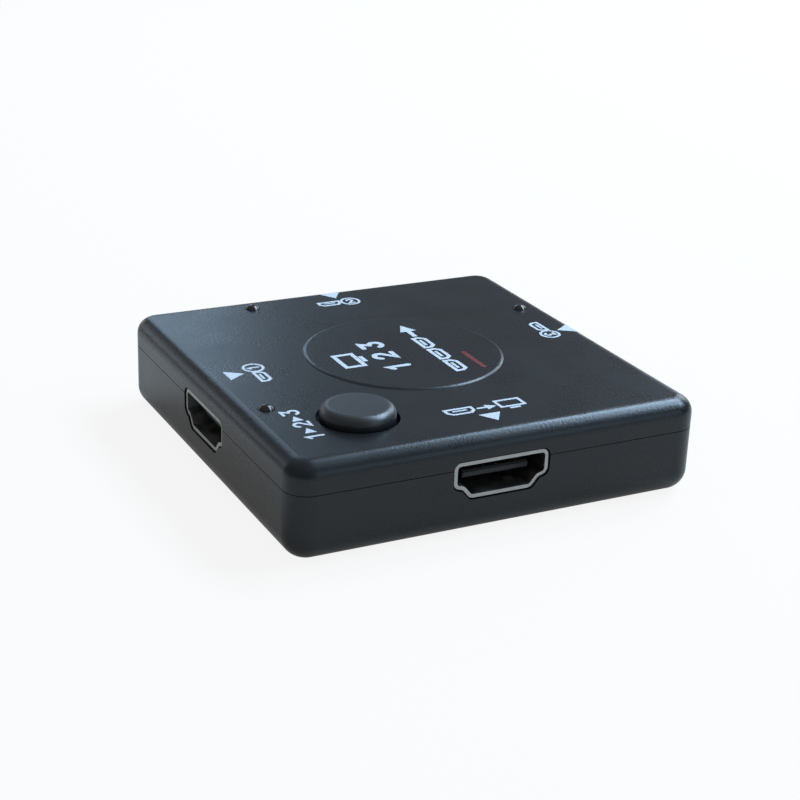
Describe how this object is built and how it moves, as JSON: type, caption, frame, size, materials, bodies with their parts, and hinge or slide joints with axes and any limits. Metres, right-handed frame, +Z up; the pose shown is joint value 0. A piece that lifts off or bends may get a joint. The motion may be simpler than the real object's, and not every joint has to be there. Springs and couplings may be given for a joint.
{
  "type": "hdmi switch box",
  "caption": "Small square black plastic video switch box with sockets on all sides, a round select button, indicator lamps and a raised disc on top.",
  "frame": {"origin": "middle of the base, where the case stands on a table", "axes": "+Z up; the output socket faces -Y, input 1 faces -X, input 2 faces +Y, input 3 faces +X"},
  "size_m": [0.065, 0.065, 0.0166],
  "materials": {
    "case_plastic": "black moulded plastic with a fine spark-eroded grain",
    "button_plastic": "black moulded plastic, smoother than the case",
    "port_metal": "nickel-plated stamped steel",
    "black_plastic": "black moulded plastic",
    "contact_gold": "gold-plated contact strip",
    "lamp_lens": "clear dark red epoxy",
    "board": "green solder mask",
    "chip_plastic": "black epoxy chip",
    "tinned_metal": "tinned lead",
    "steel": "thin spring steel",
    "ceramic": "tan ceramic chip",
    "screw_steel": "zinc-plated screw"
  },
  "bodies": {
    "case": {"top_shell": "case_plastic", "bottom_shell": "case_plastic", "circuit_board": "board", "switch_base": "black_plastic", "switch_cover": "steel", "snap_dome": "steel", "switch_terminals": "tinned_metal", "led_1": "lamp_lens", "led_2": "lamp_lens", "led_3": "lamp_lens", "led_leads": "tinned_metal", "switch_chip": "chip_plastic", "switch_chip_pins": "tinned_metal", "memory_chip": "chip_plastic", "voltage_regulator": "chip_plastic", "chip_resistors": "chip_plastic", "chip_capacitors": "ceramic", "case_screws": "screw_steel", "output_port_shell": "port_metal", "output_port_insulator": "black_plastic", "output_port_contacts": "contact_gold", "input_1_port_shell": "port_metal", "input_1_port_insulator": "black_plastic", "input_1_port_contacts": "contact_gold", "input_2_port_shell": "port_metal", "input_2_port_insulator": "black_plastic", "input_2_port_contacts": "contact_gold", "input_3_port_shell": "port_metal", "input_3_port_insulator": "black_plastic", "input_3_port_contacts": "contact_gold"},
    "button": {"select_button": "button_plastic", "switch_plunger": "black_plastic"}
  },
  "joints": [
    {"name": "select_press", "type": "slide", "parent": "case", "child": "button", "axis": [0, 0, -1], "range_m": [0, 0.0003], "stiffness_N_per_m": 600, "springref_m": -0.002, "deforming": ["snap_dome"]}
  ]
}
